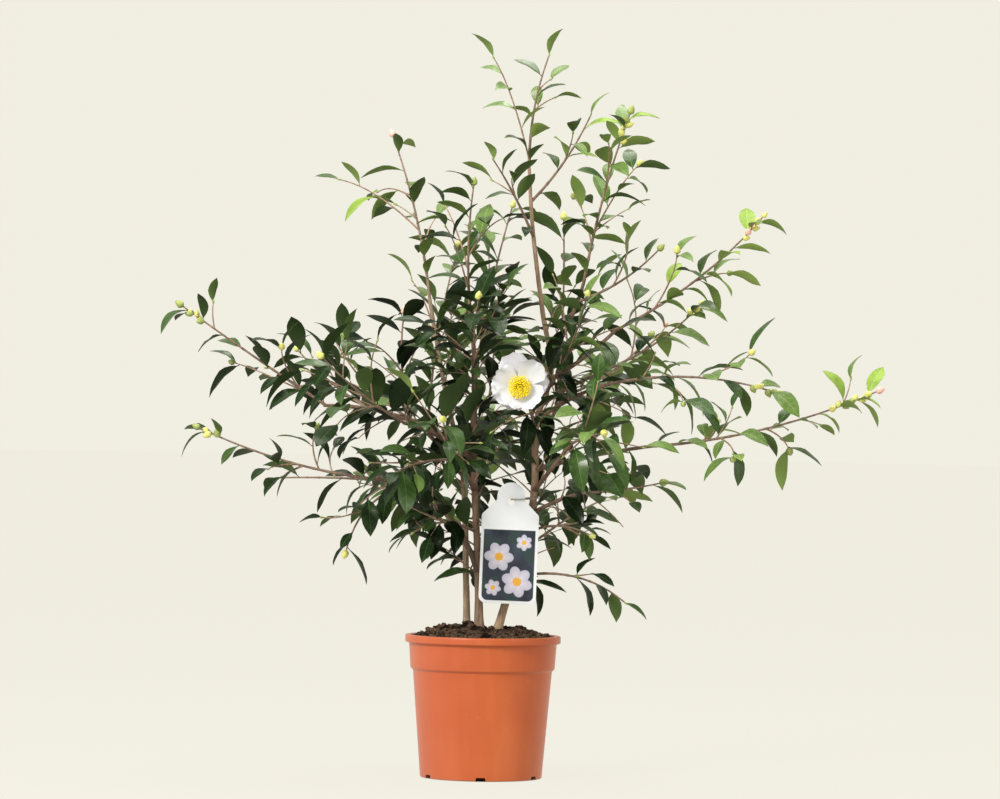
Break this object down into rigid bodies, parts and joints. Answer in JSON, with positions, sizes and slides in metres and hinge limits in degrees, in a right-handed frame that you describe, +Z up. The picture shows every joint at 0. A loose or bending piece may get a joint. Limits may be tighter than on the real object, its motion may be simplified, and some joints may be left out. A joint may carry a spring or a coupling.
{
  "type": "potted camellia shrub",
  "caption": "Young camellia shrub in a round nursery pot, with slender stems, boughs, leafy shoots, an open white bloom and a hanging plant tag.",
  "frame": {"origin": "middle of the pot's flat underside", "axes": "+Z up, +X to the right and -Y to the front of the plant as it is shown"},
  "size_m": [0.8645, 0.6134, 0.9239],
  "materials": {
    "terracotta_plastic": "satin moulded plastic, terracotta orange",
    "compost": "moist, lumpy, dark brown",
    "bark": "thin matt bark, tan to grey-brown",
    "foliage": "glossy dark green leaves",
    "petals": "soft white petals",
    "buds": "smooth yellow-green bud scales",
    "tag_plastic": "smooth white sheet plastic with a printed panel",
    "tie_plastic": "thin grey plastic tie"
  },
  "bodies": {
    "root": {"pot": "terracotta_plastic", "soil": "compost", "stem_left": "bark", "stem_middle": "bark", "stem_right": "bark", "bough_back_left": "bark", "bough_back_middle": "bark", "bough_back_right": "bark", "bough_front_middle": "bark", "bough_front_right": "bark", "bough_left_front": "bark", "bough_left_high": "bark", "bough_left_low": "bark", "bough_right_back": "bark", "bough_right_long": "bark", "bough_right_low": "bark", "bough_right_middle": "bark", "bough_right_upper": "bark", "bough_right_upright": "bark", "shoot_back_left": "foliage", "shoot_back_left_high": "foliage", "shoot_back_left_low": "foliage", "shoot_back_middle": "foliage", "shoot_back_middle_high": "foliage", "shoot_back_right": "foliage", "shoot_back_right_high": "foliage", "shoot_back_right_low": "foliage", "shoot_bloom": "foliage", "shoot_front_high": "foliage", "shoot_front_left": "foliage", "shoot_front_middle": "foliage", "shoot_front_right": "foliage", "shoot_front_right_high": "foliage", "shoot_inner": "foliage", "shoot_inner_low": "foliage", "shoot_left_front_low": "foliage", "shoot_left_hanging": "foliage", "shoot_left_inner": "foliage", "shoot_left_low": "foliage", "shoot_left_low_back": "foliage", "shoot_left_rosette": "foliage", "shoot_left_upper": "foliage", "shoot_left_upper_back": "foliage", "shoot_right_back": "foliage", "shoot_right_hanging": "foliage", "shoot_right_long": "foliage", "shoot_right_low": "foliage", "shoot_right_low_front": "foliage", "shoot_right_middle": "foliage", "shoot_right_shoulder": "foliage", "shoot_right_upper": "foliage", "shoot_right_upright": "foliage", "shoot_top": "foliage", "shoot_top_left": "foliage", "shoot_top_right": "foliage", "shoot_upright_left": "foliage", "shoot_upright_middle": "foliage", "tag": "tag_plastic", "tag_tie": "tie_plastic"}
  },
  "joints": []
}
